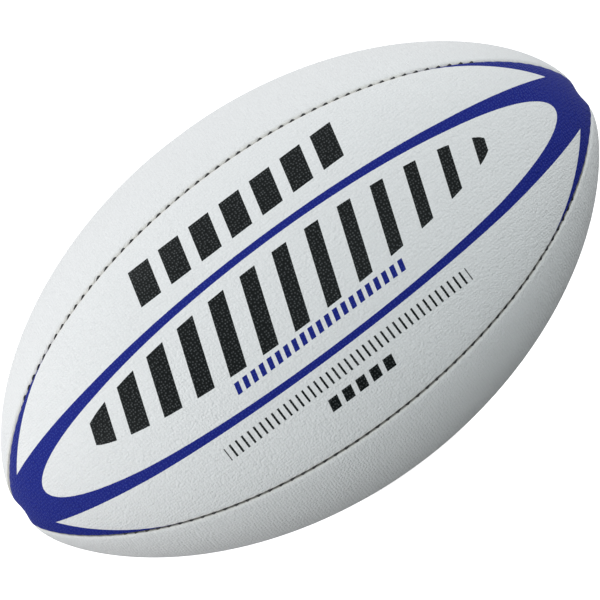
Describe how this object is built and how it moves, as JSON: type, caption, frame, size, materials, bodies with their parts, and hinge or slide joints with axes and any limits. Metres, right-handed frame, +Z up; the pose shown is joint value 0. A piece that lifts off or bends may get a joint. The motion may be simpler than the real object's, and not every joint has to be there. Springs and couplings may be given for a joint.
{
  "type": "rugby ball",
  "caption": "Junior rugby ball: stitched synthetic leather panels with blunt dimpled tips, over cloth plies and a bladder with a needle valve.",
  "frame": {"origin": "the ball's centre", "axes": "+X along the ball's long axis, +Z up through the valve in the top panel, printed panels facing -Y and +Y"},
  "size_m": [0.2762, 0.1616, 0.1613],
  "materials": {
    "panel_printed": "satin pebbled white synthetic leather, printed in blue and black",
    "panel_plain": "satin pebbled white synthetic leather",
    "backing_cloth": "plain woven polyester and cotton backing, glued",
    "patch_cloth": "plain woven reinforcement, glued",
    "thread": "waxed black polyester thread",
    "bladder_latex": "soft latex, dusted with talc",
    "valve_rubber": "moulded matt black rubber",
    "core_rubber": "moulded grey rubber, slit for the needle"
  },
  "bodies": {
    "root": {"panel_front": "panel_printed", "panel_back": "panel_printed", "panel_top": "panel_plain", "panel_bottom": "panel_plain", "outer_ply_front": "backing_cloth", "outer_ply_top": "backing_cloth", "outer_ply_back": "backing_cloth", "outer_ply_bottom": "backing_cloth", "inner_ply_front": "backing_cloth", "inner_ply_top": "backing_cloth", "inner_ply_back": "backing_cloth", "inner_ply_bottom": "backing_cloth", "seam_thread_front_top": "thread", "seam_thread_top_back": "thread", "seam_thread_back_bottom": "thread", "seam_thread_bottom_front": "thread", "bladder": "bladder_latex", "valve_patch_panel": "patch_cloth", "valve_patch_bladder": "bladder_latex", "valve_housing": "valve_rubber", "valve_core": "core_rubber"}
  },
  "joints": []
}
